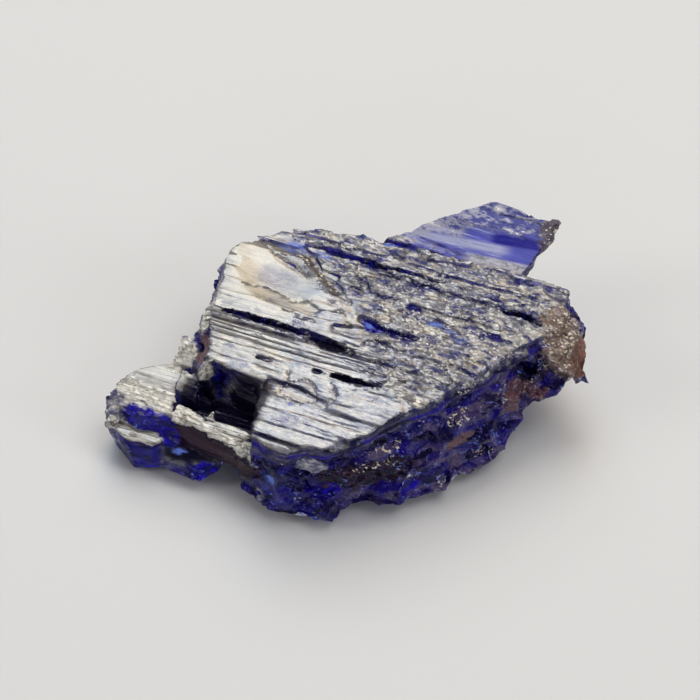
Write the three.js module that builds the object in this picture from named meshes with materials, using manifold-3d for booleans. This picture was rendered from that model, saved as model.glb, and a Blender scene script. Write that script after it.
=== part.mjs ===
// Rough tanzanite, a violet-blue zoisite: one broken crystal fragment, about 24 x 20 x 7 mm.
// Millimetres, +Z up. +X runs along the growth striations, which is the crystal's c axis, and +Y
// runs to the back. The striated face is on top, the foot sticks out at the front left and the
// blade at the back right. The origin is the middle of the bounding box, on the ground.
import * as THREE from "three";
import { ConvexGeometry } from "three/addons/geometries/ConvexGeometry.js";
import { mergeVertices } from "three/addons/utils/BufferGeometryUtils.js";
import Module from "manifold-3d";

const wasm = await Module();
wasm.setup();

// ---- Driving dimensions, in millimetres --------------------------------------------------------

const CREST_HEIGHT = 6.7; // highest line of the striated face over the ground
const CREST_Y = 1.5; // where that line runs
const FRONT_FALL = 0.0115; // how fast the face falls off in front of the crest, mm per mm squared
const BACK_FALL = 0.02; // the same behind the crest
const RECESS_FLOOR = 3.3; // where the crown is broken away at the front left
const BELLY = 0.9; // how high the underside climbs from the resting spot to the rim
const SPOT = { x: 1.2, y: -1.5, share: 0.52 }; // middle of the resting spot, and its share of the rim
const FACET = 1.15; // size of the small broken faces round the sides
const HACKLE = 0.2; // how far their corners stand in or out
const SEAM = 0.15; // how far two pieces that grew together reach into each other
const FOOT_FLOOR = 0.35; // gap under the foot
const FOOT_STEP = 2.5; // height of the foot's lower tier
const FOOT_LEDGE = { y: -8.2, rise: 0.5 }; // the ledge behind it, under the upper tier
const FOOT_CREST = 4.15; // height of the striped top
const BLADE_THICK = 1.3;
const BLADE_CLIMB = 20; // degrees

// Growth striations across the face, front to back: each band ends at y `to`, its ridges are
// `ridge` wide and step up or down by as much as `step`.
const FACE_BANDS = [
  { to: -6.2, ridge: 0.75, step: 0.13 },
  { to: -3.9, ridge: 1.3, step: 0.05 },
  { to: -2.1, ridge: 0.24, step: 0.09 },
  { to: 2.6, ridge: 1.1, step: 0.09 },
  { to: 10, ridge: 0.6, step: 0.16 },
];

// Rims, seen from above and anticlockwise: where each corner of the side stands at the foot of the
// piece and at its head, [x, y, x, y].
const CROWN_RIM = [
  [-2.9, -6.0, -2.9, -5.8], [-2.6, -7.6, -2.4, -7.3], [-2.2, -9.1, -1.9, -8.8],
  [0.0, -9.6, 0.0, -8.5], [2.2, -9.2, 1.6, -7.5], [4.5, -7.6, 3.6, -5.9], [6.6, -5.7, 4.9, -4.2],
  [8.6, -3.6, 6.4, -2.6], [9.8, -1.6, 7.6, -0.5], [11.2, 1.2, 8.9, 1.4], [11.5, 3.4, 10.7, 4.0],
  [10.3, 5.5, 10.1, 6.0], [7.5, 5.9, 7.5, 6.6], [4.0, 5.7, 4.0, 6.5], [0.5, 5.4, 0.5, 6.1],
  [-2.4, 4.8, -2.4, 5.5], [-5.2, 3.6, -4.9, 4.6], [-7.4, 2.0, -7.0, 3.0], [-8.2, 0.2, -7.7, 1.3],
  [-8.2, -1.8, -7.0, -0.9], [-7.9, -3.6, -6.2, -3.4], [-7.0, -4.9, -5.8, -5.1],
];
const ROOT_RIM = [
  [-3.4, -7.4, -4.6, -7.6], [-3.0, -8.3, -3.4, -8.2], [-2.5, -9.0, -2.4, -9.0],
  [-1.2, -9.9, -1.0, -9.6], [0.8, -9.7, 1.0, -9.5], [2.9, -9.2, 3.0, -8.9],
  [4.3, -8.0, 5.0, -7.3], [5.7, -6.7, 7.2, -5.3], [7.3, -5.3, 8.6, -3.7], [8.3, -3.9, 9.7, -2.7],
  [9.2, -2.4, 9.6, -1.3], [9.4, 0.5, 11.0, 0.3], [8.5, 2.4, 11.6, 1.9], [7.0, 3.2, 11.2, 4.2],
  [5.0, 3.4, 9.0, 5.7], [2.5, 3.4, 3.5, 5.5], [-0.5, 2.8, 0.0, 5.2], [-2.5, 2.0, -3.5, 4.3],
  [-4.0, 1.0, -6.4, 2.7], [-5.2, -0.6, -7.9, 0.6], [-5.6, -2.6, -8.0, -1.8],
  [-5.2, -4.6, -7.9, -4.2], [-4.4, -6.2, -7.2, -6.2],
];
const FOOT_LOWER_RIM = [
  [-10.3, -8.2, -10.6, -8.8], [-8.7, -9.2, -9.1, -9.4], [-7.6, -9.1, -7.6, -9.2],
  [-6.9, -8.2, -7.0, -8.0], [-6.6, -5.8, -6.8, -5.4], [-8.2, -5.2, -8.4, -5.0],
  [-9.6, -6.0, -10.2, -6.0], [-10.8, -7.2, -11.2, -7.5],
];
const FOOT_UPPER_RIM = [
  [-10.1, -8.1, -9.8, -7.9], [-8.8, -8.5, -8.9, -8.2], [-7.2, -7.9, -7.3, -7.5],
  [-7.3, -6.4, -7.6, -6.2], [-7.4, -4.3, -7.7, -4.5], [-8.9, -4.9, -8.9, -5.2],
  [-10.0, -5.6, -9.7, -5.9], [-11.1, -7.0, -10.7, -7.0],
];
const BLADE_RIM = [
  [-0.9, -0.8], [7.3, -0.8], [7.5, 1.8], [7.8, 3.1], [8.5, 4.3], [8.7, 5.3], [7.7, 5.2],
  [6.0, 5.3], [4.8, 5.4], [3.0, 4.2], [1.3, 2.9], [-0.4, 1.6],
].map(([x, y]) => [x, y, x, y]);

// The two ends of the glossy bar, left and right: corners [x, y, z].
const BAR_LEFT = [
  [-7.2, -7.7, 3.8], [-7.0, -8.15, 2.2], [-6.6, -7.2, 1.8], [-6.8, -6.6, 2.8], [-7.1, -6.95, 3.75],
];
const BAR_RIGHT = [
  [-1.8, -8.75, 3.45], [-2.2, -8.8, 1.9], [-1.8, -7.6, 1.2], [-1.8, -7.0, 2.6], [-1.8, -7.5, 3.6],
];

// Gashes in the face: from [x, y], to [x, y], width, depth.
const GASHES = [
  [[-3.8, 3.7], [3.9, 3.75], 0.26, 0.55],
  [[-6.3, -2.2], [-1.0, -2.2], 0.3, 0.4],
  [[-1.7, -2.2], [0.9, -2.6], 0.6, 0.5],
  [[0.3, -4.2], [3.3, -3.95], 0.36, 0.55],
  [[-3.8, -4.4], [-2.6, -4.4], 0.24, 0.3],
  [[-0.6, -4.2], [0.2, -4.2], 0.28, 0.3],
  [[0.4, -0.1], [2.6, -0.8], 0.9, 0.5],
  [[1.9, -0.6], [4.4, -0.5], 0.5, 0.35],
  [[7.2, 3.0], [9.7, 3.1], 0.42, 0.45],
];

// Ledges that break across the face, the steep side to the left of the way from [x, y] to [x, y].
const LEDGES = [
  [[-5.6, 2.3], [-2.6, 1.0], 0.9, 0.3],
  [[-4.4, 3.6], [-2.0, 1.4], 0.7, 0.22],
  [[-2.6, 1.9], [0.2, 0.2], 0.8, 0.22],
  [[-1.1, 3.3], [0.7, 1.2], 0.7, 0.25],
  [[-3.1, -5.95], [1.6, -6.3], 1.6, 0.12],
  [[4.5, 5.4], [8.2, 5.2], 1.2, 0.25],
];
const SPLINTERS = 64; // small ledges and shingles on the hackly right side of the face

// Rows of small grains: along the left edge of the crown, on the front and on the bar.
const GRAIN_ROWS = [
  { from: [-8.0, -4.4, 4.4], to: [-6.5, -2.4, 6.0], count: 12, size: [0.4, 0.75], seed: 12 },
  { from: [2.0, -7.8, 4.8], to: [4.7, -6.3, 4.5], count: 10, size: [0.25, 0.45], seed: 13 },
  { from: [3.1, -7.8, 3.9], to: [4.9, -6.7, 3.9], count: 6, size: [0.25, 0.4], seed: 14 },
  { from: [-6.9, -7.6, 3.7], to: [-2.2, -8.6, 3.45], count: 12, size: [0.16, 0.32], seed: 15 },
  { from: [-6.9, -7.8, 3.6], to: [-6.1, -7.4, 3.65], count: 5, size: [0.28, 0.42], seed: 16 },
  { from: [-10.2, -7.4, 3.7], to: [-10.4, -8.7, 2.5], count: 7, size: [0.25, 0.42], seed: 17 },
];

// Runs of flake scars round the sides, from one end of `path` to the other, with the stone on the
// left: how high they lie, how many, how wide their bowls are and how deep they bite.
const SCARRED_SIDES = [
  {
    path: [[-2.3, -9.4], [1.0, -9.7], [4.6, -7.8], [7.6, -5.0], [9.5, -2.2], [10.4, 0.0]],
    heights: [1.7, 5.1], count: 28, radius: [1.7, 4.6], bite: [0.35, 0.85], seed: 44,
  },
  {
    path: [[11.2, 4.4], [9.0, 6.0], [4.0, 6.3], [-1.5, 5.7], [-5.8, 4.4], [-8.5, 1.6], [-8.1, -2.2]],
    heights: [1.5, 4.5], count: 26, radius: [2.0, 4.2], bite: [0.25, 0.7], seed: 42,
  },
];

// ---- Making and cutting solids -------------------------------------------------------------------

// A repeatable random number from low to high.
function dice(seed) {
  let state = seed * 7919;
  return (low, high) => {
    state = (state * 1664525 + 1013904223) % 4294967296;
    return low + ((high - low) * state) / 4294967296;
  };
}

// A closed three.js geometry as a solid that can be cut and joined.
function solid(geometry) {
  const bare = new THREE.BufferGeometry().setAttribute(
    "position",
    (geometry.index ? geometry.toNonIndexed() : geometry).getAttribute("position"),
  );
  const merged = mergeVertices(bare, 1e-4);
  return new wasm.Manifold(
    new wasm.Mesh({
      numProp: 3,
      vertProperties: merged.getAttribute("position").array,
      triVerts: new Uint32Array(merged.index.array),
    }),
  );
}

// The solid with flat faces that wraps a set of corners, [x, y, z].
const hull = (corners) =>
  solid(new ConvexGeometry(corners.map((corner) => new THREE.Vector3(...corner))));

const join = (solids) => solids.reduce((all, next) => all.add(next));
const carve = (stone, cutters) => cutters.reduce((left, next) => left.subtract(next), stone);

// A column between two flat ends whose side is broken into small faces. The rim's corners run
// from the foot to the head, and between them the side's corners stand a little in or out.
function brokenColumn(rim, low, high, seed) {
  const roll = dice(seed);
  const pieces = rim.map(([, , x, y], i) => {
    const [, , nextX, nextY] = rim[(i + 1) % rim.length];
    return Math.max(1, Math.round(Math.hypot(nextX - x, nextY - y) / FACET));
  });
  const corners = rim.flatMap((corner, i) => {
    const next = rim[(i + 1) % rim.length];
    return Array.from({ length: pieces[i] }, (_, k) =>
      corner.map((value, axis) => THREE.MathUtils.lerp(value, next[axis], k / pieces[i])),
    );
  });
  const tiers = Math.max(1, Math.round((high - low) / FACET));
  const rings = Array.from({ length: tiers + 1 }, (_, tier) => {
    const share = tier / tiers;
    const inside = tier > 0 && tier < tiers;
    return corners.map(([footX, footY, headX, headY]) => {
      const x = THREE.MathUtils.lerp(footX, headX, share) + roll(-HACKLE, HACKLE);
      const y = THREE.MathUtils.lerp(footY, headY, share) + roll(-HACKLE, HACKLE);
      const z = THREE.MathUtils.lerp(low, high, share) + (inside ? roll(-HACKLE, HACKLE) : 0);
      return new THREE.Vector3(x, y, z);
    });
  });
  const positions = [];
  const face = (...vectors) => vectors.forEach((v) => positions.push(v.x, v.y, v.z));
  for (let tier = 0; tier < tiers; tier++) {
    corners.forEach((_, i) => {
      const j = (i + 1) % corners.length;
      const [a, b] = [rings[tier][i], rings[tier][j]];
      const [c, d] = [rings[tier + 1][j], rings[tier + 1][i]];
      if (roll(0, 1) < 0.5) face(a, b, c, a, c, d);
      else face(a, b, d, b, c, d);
    });
  }
  const end = (ring, flip) =>
    THREE.ShapeUtils.triangulateShape(ring.map((v) => new THREE.Vector2(v.x, v.y)), []).forEach(
      ([a, b, c]) => face(ring[a], ring[flip ? c : b], ring[flip ? b : c]),
    );
  end(rings[0], true);
  end(rings[tiers], false);
  return solid(
    new THREE.BufferGeometry().setAttribute(
      "position",
      new THREE.Float32BufferAttribute(positions, 3),
    ),
  );
}

// Everything under a face with striations along X: a sawtooth profile pulled along X.
function underStriations(height, bands, from, seed) {
  const roll = dice(seed);
  const to = bands.at(-1).to;
  const reach = 15;
  const profile = [[to, -1], [from, -1]];
  let y = from;
  for (const band of bands) {
    while (y < band.to) {
      const next = Math.min(band.to, y + band.ridge * roll(0.6, 1.4));
      const lift = roll(-band.step, band.step);
      const lean = roll(-band.step, band.step) / 2;
      profile.push([y + 1e-3, height(y) + lift - lean], [next, height(next) + lift + lean]);
      y = next;
    }
  }
  const shape = new THREE.Shape(profile.map(([across, up]) => new THREE.Vector2(across, up)));
  const geometry = new THREE.ExtrudeGeometry(shape, { depth: 2 * reach, bevelEnabled: false });
  // The profile is drawn in X and Y: this turns them to Y and Z, and the pull to X.
  const turn = new THREE.Matrix4().set(0, 0, 1, -reach, 1, 0, 0, 0, 0, 1, 0, 0, 0, 0, 0, 1);
  return solid(geometry.applyMatrix4(turn));
}

// Height of the striated face over a line at y.
function faceHeight(y) {
  const away = y - CREST_Y;
  return CREST_HEIGHT - (away < 0 ? FRONT_FALL : BACK_FALL) * away * away;
}

// A long wedge on the face, pointed at both ends. Its tilted side lies `back` over the face along
// the edge to the left of the way and `front` over it along the other, and it reaches to `far`.
function wedge([fromX, fromY], [toX, toY], wide, { back, front, far }) {
  const from = new THREE.Vector3(fromX, fromY, faceHeight(fromY));
  const to = new THREE.Vector3(toX, toY, faceHeight(toY));
  const side = new THREE.Vector3(fromY - toY, toX - fromX, 0).setLength(wide / 2);
  const corners = [[from.x, from.y, from.z + far], [to.x, to.y, to.z + far]];
  for (const [share, narrow] of [[0.12, 0.7], [0.45, 1], [0.85, 0.6]]) {
    const middle = from.clone().lerp(to, share);
    for (const [way, tilt] of [[narrow, back], [-narrow, front]]) {
      const { x, y, z } = middle.clone().addScaledVector(side, way);
      corners.push([x, y, z + tilt * narrow], [x, y, z + far]);
    }
  }
  return hull(corners);
}

const gash = ([from, to, wide, deep]) =>
  wedge(from, to, wide, { back: -deep, front: -0.6 * deep, far: 0.6 });
const ledge = ([from, to, wide, deep]) =>
  wedge(from, to, wide, { back: -deep, front: 0, far: 0.6 });

// A bowl-shaped flake scar: `at` is on the surface, and `out` points away from the stone.
function bowl(at, out, radius, bite, roll) {
  const ball = new THREE.IcosahedronGeometry(radius, 3);
  ball.scale(roll(0.8, 1.3), roll(0.8, 1.3), roll(0.6, 0.9));
  ball.rotateX(roll(-0.5, 0.5)).rotateZ(roll(0, 3));
  const corner = new THREE.Vector3();
  const corners = ball.getAttribute("position");
  let reach = 0;
  for (let i = 0; i < corners.count; i++) {
    reach = Math.max(reach, -corner.fromBufferAttribute(corners, i).dot(out));
  }
  return solid(ball.translate(...at.clone().addScaledVector(out, reach - bite)));
}

// Flake scars along a path on the side, one after another at changing heights.
function scars({ path, heights, count, radius, bite, seed }) {
  const roll = dice(seed);
  const line = new THREE.CatmullRomCurve3(path.map(([x, y]) => new THREE.Vector3(x, y, 0)));
  return Array.from({ length: count }, (_, i) => {
    const share = (i + roll(0.2, 0.8)) / count;
    const at = line.getPointAt(share).setZ(roll(...heights));
    const along = line.getTangentAt(share);
    const out = new THREE.Vector3(along.y, -along.x, roll(-0.4, 0.5)).normalize();
    out.applyAxisAngle(new THREE.Vector3(0, 0, 1), roll(-0.4, 0.4));
    return bowl(at, out, roll(...radius), roll(...bite), roll);
  });
}

// Everything on the far side of a plane.
function beyond(point, normal) {
  const size = 60;
  const block = new THREE.BoxGeometry(size, size, size).translate(0, 0, size / 2);
  const turn = new THREE.Quaternion().setFromUnitVectors(
    new THREE.Vector3(0, 0, 1),
    new THREE.Vector3(...normal).normalize(),
  );
  return solid(block.applyQuaternion(turn).translate(...point));
}

// ---- The body: a root with a rounded belly, and the striated crown on it ---------------------------

function root() {
  const spot = ([x, y]) => [
    THREE.MathUtils.lerp(SPOT.x, x, SPOT.share),
    THREE.MathUtils.lerp(SPOT.y, y, SPOT.share),
  ];
  const belly = brokenColumn(ROOT_RIM.map(([x, y]) => [...spot([x, y]), x, y]), 0, BELLY, 7);
  return join([belly, brokenColumn(ROOT_RIM, BELLY - SEAM, RECESS_FLOOR, 1)]);
}

function crown() {
  const rough = brokenColumn(CROWN_RIM, RECESS_FLOOR - SEAM, CREST_HEIGHT + 0.6, 2);
  return rough.intersect(join([underStriations(faceHeight, FACE_BANDS, -12, 5), ...splinters(true)]));
}

// The shallow polished dish at the back left of the face.
function dish() {
  const ball = new THREE.IcosahedronGeometry(1, 12);
  ball.scale(9.5, 6.2, 6);
  ball.rotateZ(-0.35).rotateY(0.05);
  return solid(ball.translate(-5.0, 1.0, faceHeight(1.0) + 5.75));
}

// The dark hollow in the right side, in front of the horn.
const hollow = () =>
  hull([
    [8.9, 0.8, 5.7], [9.3, 1.6, 5.1], [9.8, 1.6, 4.4], [9.0, 0.4, 4.8], [10.1, -1.6, 5.5],
    [11.8, 0.3, 5.2], [11.5, 0.5, 4.2], [10.3, -1.3, 4.1],
  ]);

// Small ledges and shingles, roughly along the striations, where the face is hackly.
function splinters(wanted) {
  const roll = dice(21);
  const all = Array.from({ length: SPLINTERS }, (_, i) => {
    const [x, y] = [roll(-3.0, 9.3), roll(-3.0, 5.8)];
    const half = roll(0.5, 1.7);
    const swing = roll(-0.35, 0.3);
    const raised = i % 2 === 0;
    const tilt = raised
      ? { back: roll(0.05, 0.2), front: -0.05, far: -0.6 }
      : { back: -roll(0.06, 0.2), front: 0, far: 0.6 };
    const [from, to] = [[x - half, y - half * swing], [x + half, y + half * swing]];
    return { raised, piece: wedge(from, to, roll(0.4, 1.0), tilt) };
  });
  return all.filter(({ raised }) => raised === wanted).map(({ piece }) => piece);
}

function body() {
  return carve(join([root(), crown()]), [
    beyond([8.2, 3.0, 6.65], [0.2, -0.06, 1]),
    dish(),
    hollow(),
    ...SCARRED_SIDES.flatMap(scars),
    ...GASHES.map(gash),
    ...LEDGES.map(ledge),
    ...splinters(false),
  ]);
}

// ---- The pieces that grew on it --------------------------------------------------------------------

// The foot at the front left: two striped tiers over a pointed lobe.
function foot() {
  const ledge = FOOT_STEP + FOOT_LEDGE.rise;
  const lower = brokenColumn(FOOT_LOWER_RIM, FOOT_FLOOR, ledge + SEAM, 3);
  const upper = brokenColumn(FOOT_UPPER_RIM, ledge - 2 * SEAM, FOOT_CREST + 0.5, 4);
  const striped = (height, seed) =>
    underStriations(height, [{ to: -3, ridge: 0.42, step: 0.09 }], -11, seed);
  const lobe = hull([
    [-8.0, -9.2, 1.1], [-7.8, -8.6, 2.4], [-5.0, -9.3, 0.7], [-4.2, -8.6, 1.3], [-5.4, -8.3, 2.1],
    [-6.6, -6.6, 2.6], [-4.6, -6.6, 0.8], [-7.6, -7.0, 0.6], [-6.0, -9.2, 1.5], [-3.9, -7.2, 1.9],
  ]);
  return join([
    lower.intersect(striped((y) => (y > FOOT_LEDGE.y ? ledge : FOOT_STEP), 6)),
    upper.intersect(striped((y) => FOOT_CREST - 0.07 * (y + 5.2) ** 2, 8)),
    lobe,
  ]);
}

// The blade at the back right: a thin striated plate that climbs to the back and thins to its tip,
// with a thicker broken edge on the right.
function blade() {
  const plate = brokenColumn(BLADE_RIM, 0, BLADE_THICK + 0.4, 6);
  const top = () => BLADE_THICK;
  const striated = plate.intersect(underStriations(top, [{ to: 7, ridge: 0.7, step: 0.1 }], -2, 9));
  const tapered = striated.subtract(beyond([7.5, 3, 0.3], [0.35, 0.2, -1]));
  const edge = hull([
    [7.5, 5.1, 1.35], [8.5, 5.5, 1.25], [8.7, 5.2, 1.4], [8.3, 4.3, 1.25], [7.9, 3.1, 1.1],
    [7.7, 3.6, 1.35], [7.6, 4.6, 1.45], [8.1, 5.0, 1.5], [7.9, 4.2, 0.5], [8.3, 5.2, 0.5],
  ]);
  return tapered.add(edge).rotate([BLADE_CLIMB, 0, 0]).translate([0, 5.2, 4.1]);
}

// The lip that stands out under the front edge of the face.
const lip = () =>
  hull([
    [-2.1, -8.95, 4.95], [-2.2, -9.1, 4.2], [-0.6, -9.25, 4.6], [0.5, -8.9, 4.95], [0.9, -8.8, 4.5],
    [-0.4, -8.4, 5.1], [-2.0, -8.0, 4.2], [0.6, -8.0, 4.2], [-0.6, -9.15, 3.9],
  ]);

// A small crystal on the front with a flat diamond-shaped facet.
const diamond = () =>
  hull([
    [0.25, -9.15, 4.3], [1.05, -8.7, 4.85], [2.15, -8.4, 4.6], [1.55, -8.9, 3.9], [0.6, -7.6, 4.0],
    [1.6, -7.4, 4.4], [1.2, -7.8, 3.4],
  ]);

// The glassy corner at the right, with a hooked tip, on a broken shoulder.
function horn() {
  const corner = hull([
    [9.6, 2.2, 6.1], [11.0, 1.5, 5.3], [12.1, 1.5, 4.7], [11.5, 3.7, 5.8], [11.9, 4.7, 5.1],
    [10.5, 6.0, 5.4], [12.5, 2.9, 3.9], [11.8, 2.1, 3.4], [9.0, 4.8, 3.0], [9.4, 2.6, 3.8],
  ]);
  const hook = hull([
    [11.3, 2.6, 4.1], [11.8, 2.4, 3.5], [12.3, 1.4, 4.3], [12.8, 2.1, 4.2], [12.8, 2.3, 3.5],
    [12.3, 2.6, 3.3], [12.2, 3.0, 4.3],
  ]);
  const shoulder = hull([
    [9.0, 1.0, 3.6], [10.3, 0.2, 3.6], [10.9, 0.6, 3.0], [11.5, 1.5, 3.1], [11.9, 1.9, 3.9],
    [11.6, 3.4, 4.2], [11.2, 2.6, 2.4], [10.2, 1.2, 2.2], [9.0, 2.8, 2.6], [9.4, 3.2, 4.2],
  ]);
  return join([corner, hook, shoulder]);
}

// What stands round the recess: the glossy bar in front, the blocks at its left end, the broken
// end of the rib between the recess and the outside, and a sliver and a splinter on the floor.
function recessPieces() {
  return [
    hull([...BAR_LEFT, ...BAR_RIGHT]),
    hull([
      [-7.5, -6.6, 2.6], [-6.1, -6.9, 2.6], [-7.7, -5.0, 2.8], [-5.8, -5.4, 2.8], [-7.5, -6.4, 4.2],
      [-6.3, -6.6, 4.1], [-7.6, -5.3, 4.5], [-6.2, -5.5, 4.4],
    ]),
    hull([
      [-6.3, -6.7, 2.8], [-5.2, -6.8, 2.8], [-5.0, -5.8, 2.8], [-6.2, -5.8, 2.8], [-5.6, -6.4, 4.3],
      [-6.1, -6.3, 4.2],
    ]),
    hull([
      [-7.2, -5.1, 3.0], [-5.6, -5.7, 3.0], [-7.0, -5.2, 4.8], [-5.8, -5.5, 6.2], [-5.2, -4.9, 6.2],
      [-7.4, -4.1, 4.6], [-5.2, -4.0, 3.0], [-6.5, -4.6, 5.6], [-6.2, -5.9, 4.8],
    ]),
    hull([
      [-4.85, -7.28, 3.78], [-3.8, -7.2, 3.78], [-2.95, -7.35, 3.77], [-2.5, -7.62, 3.74],
      [-2.95, -7.87, 3.71], [-3.68, -7.9, 3.71], [-4.4, -7.67, 3.74], [-3.7, -7.5, 3.2],
    ]),
    hull([
      [-5.15, -6.8, 4.0], [-5.35, -7.15, 3.75], [-4.9, -7.25, 3.7], [-5.2, -7.35, 3.6],
      [-5.1, -7.0, 3.2],
    ]),
  ];
}

// Small grains that grew in a row.
function grains({ from, to, count, size, seed }) {
  const roll = dice(seed);
  const [start, finish] = [new THREE.Vector3(...from), new THREE.Vector3(...to)];
  return Array.from({ length: count }, (_, i) => {
    const at = start.clone().lerp(finish, i / (count - 1));
    const radius = roll(...size);
    const grain = new THREE.IcosahedronGeometry(radius, 0).rotateX(roll(0, 3)).rotateY(roll(0, 3));
    const stray = 0.5 * radius;
    at.add(new THREE.Vector3(roll(-stray, stray), roll(-stray, stray), roll(-stray, 0)));
    return solid(grain.translate(...at));
  });
}

const stone = join([
  body(),
  lip(),
  diamond(),
  foot(),
  blade(),
  horn(),
  ...recessPieces(),
  ...GRAIN_ROWS.flatMap(grains),
]);

const { numProp, vertProperties, triVerts } = stone.getMesh();
const geometry = new THREE.BufferGeometry()
  .setAttribute("position", new THREE.BufferAttribute(vertProperties, numProp))
  .setIndex(new THREE.BufferAttribute(triVerts, 1));
geometry.computeBoundingBox();
const middle = geometry.boundingBox.getCenter(new THREE.Vector3());
geometry.translate(-middle.x, -middle.y, -geometry.boundingBox.min.z);
geometry.computeVertexNormals();

const roughTanzanite = new THREE.Mesh(
  geometry,
  new THREE.MeshStandardMaterial({ color: 0x2a1f9e, roughness: 0.25, metalness: 0 }),
);
roughTanzanite.name = "rough_tanzanite";

const part = new THREE.Group();
part.add(roughTanzanite);
export default part;
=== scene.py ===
import functools
import math

import bpy
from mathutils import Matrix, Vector


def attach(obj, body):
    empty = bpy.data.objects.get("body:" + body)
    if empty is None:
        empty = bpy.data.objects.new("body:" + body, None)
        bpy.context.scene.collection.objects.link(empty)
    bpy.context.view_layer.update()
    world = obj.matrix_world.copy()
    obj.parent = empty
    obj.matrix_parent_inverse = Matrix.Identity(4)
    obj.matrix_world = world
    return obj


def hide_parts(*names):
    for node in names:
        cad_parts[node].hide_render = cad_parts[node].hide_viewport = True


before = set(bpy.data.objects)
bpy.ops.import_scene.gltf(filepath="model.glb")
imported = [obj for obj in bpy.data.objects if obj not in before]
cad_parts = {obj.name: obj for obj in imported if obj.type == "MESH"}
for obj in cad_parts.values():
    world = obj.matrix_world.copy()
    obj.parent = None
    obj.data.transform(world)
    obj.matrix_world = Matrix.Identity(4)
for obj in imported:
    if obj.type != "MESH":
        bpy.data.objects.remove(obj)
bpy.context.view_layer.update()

MM = 0.001  # one millimetre in metres

# ---- The view -----------------------------------------------------------------------------------

VIEW_AZIMUTH = math.radians(21)
VIEW_HEIGHT = math.radians(50)
VIEW_DISTANCE = 160 * MM
VIEW_AIM = Vector((-0.754, -0.194, 3.5)) * MM
SENSOR = 36.0  # millimetres, as a camera states it
PICTURE_WIDTH = 700
PIXELS_PER_MM = 18.5
NEAREST_SEEN = 0.005  # metres
FARTHEST_SEEN = 10.0


def direction(azimuth, height):
    """The way from the stone to something that stands at this azimuth and this height."""
    flat = math.cos(height)
    return Vector((math.sin(azimuth) * flat, -math.cos(azimuth) * flat, math.sin(height)))


def put_camera():
    back = direction(VIEW_AZIMUTH, VIEW_HEIGHT)
    bpy.ops.object.camera_add(location=VIEW_AIM + back * VIEW_DISTANCE)
    camera = bpy.context.object
    camera.rotation_mode = "QUATERNION"
    camera.rotation_quaternion = (-back).to_track_quat("-Z", "Y")
    camera.data.sensor_width = SENSOR
    camera.data.lens = SENSOR * PIXELS_PER_MM * (VIEW_DISTANCE / MM) / PICTURE_WIDTH
    camera.data.clip_start = NEAREST_SEEN
    camera.data.clip_end = FARTHEST_SEEN
    bpy.context.scene.camera = camera


# ---- Nodes written as sums ----------------------------------------------------------------------

# Sockets of a Mix node that has a share and two colours, and its mixed colour.
MIX_SHARE, MIX_FIRST, MIX_SECOND, MIX_RESULT = 0, 6, 7, 2


def add_node(tree, kind, settings=None, inputs=None, output=0):
    """Adds a node, sets it up, fills or links its sockets, and gives back one output as a Wire."""
    node = tree.nodes.new(kind)
    for name, value in (settings or {}).items():
        setattr(node, name, value)
    for name, value in (inputs or {}).items():
        if isinstance(value, Wire):
            tree.links.new(value.socket, node.inputs[name])
        else:
            node.inputs[name].default_value = value
    return Wire(tree, node.outputs[output] if node.outputs else None, node)


class Wire:
    """One output of a node. A sum on wires adds the Math nodes that work it out."""

    def __init__(self, tree, socket, node):
        self.tree = tree
        self.socket = socket
        self.node = node

    def maths(self, operation, *values):
        inputs = dict(enumerate(values))
        return add_node(self.tree, "ShaderNodeMath", {"operation": operation}, inputs)

    def __add__(self, other):
        return self.maths("ADD", self, other)

    def __sub__(self, other):
        return self.maths("SUBTRACT", self, other)

    def __rsub__(self, other):
        return self.maths("SUBTRACT", other, self)

    def __mul__(self, other):
        return self.maths("MULTIPLY", self, other)

    def __truediv__(self, other):
        return self.maths("DIVIDE", self, other)

    __radd__ = __add__
    __rmul__ = __mul__

    def at_least(self, other):
        return self.maths("MAXIMUM", self, other)

    def at_most(self, other):
        return self.maths("MINIMUM", self, other)

    def other(self, name):
        """Another output of the same node."""
        return Wire(self.tree, self.node.outputs[name], self.node)


def largest(*wires):
    return functools.reduce(Wire.at_least, wires)


def smallest(*wires):
    return functools.reduce(Wire.at_most, wires)


def rise(value, low, high):
    """0 where the value is at low, 1 at high, with a soft start and end between them."""
    settings = {"interpolation_type": "SMOOTHSTEP"}
    inputs = {"Value": value, "From Min": low, "From Max": high}
    if low > high:
        inputs.update({"From Min": high, "From Max": low, "To Min": 1.0, "To Max": 0.0})
    return add_node(value.tree, "ShaderNodeMapRange", settings, inputs)


def band(value, low, high, soft):
    """1 where the value is between low and high, 0 outside them."""
    return rise(value, low - soft, low + soft) * rise(value, high + soft, high - soft)


def blend(first, second, share):
    return first + (second - first) * share


def tint(first, second, share):
    """A colour between two colours."""
    inputs = {MIX_SHARE: share, MIX_FIRST: first, MIX_SECOND: second}
    return add_node(share.tree, "ShaderNodeMix", {"data_type": "RGBA"}, inputs, MIX_RESULT)


def point(x, y, z):
    return add_node(x.tree, "ShaderNodeCombineXYZ", None, {"X": x, "Y": y, "Z": z})


def parts(vector):
    split = add_node(vector.tree, "ShaderNodeSeparateXYZ", None, {"Vector": vector})
    return split, split.other("Y"), split.other("Z")


def vector_maths(operation, *values, output=0):
    tree = next(value.tree for value in values if isinstance(value, Wire))
    inputs = dict(enumerate(values))
    return add_node(tree, "ShaderNodeVectorMath", {"operation": operation}, inputs, output)


def noise(place, size, detail=2.0, roughness=0.5):
    """Smooth noise from -1 to 1 with lumps of about this size."""
    inputs = {"Vector": place, "Scale": 1 / size, "Detail": detail, "Roughness": roughness}
    return add_node(place.tree, "ShaderNodeTexNoise", None, inputs) * 2 - 1


def three_noises(place, scale):
    """Three smooth noises from 0 to 1, as one vector."""
    inputs = {"Vector": place, "Scale": scale}
    return add_node(place.tree, "ShaderNodeTexNoise", None, inputs, "Color")


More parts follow.
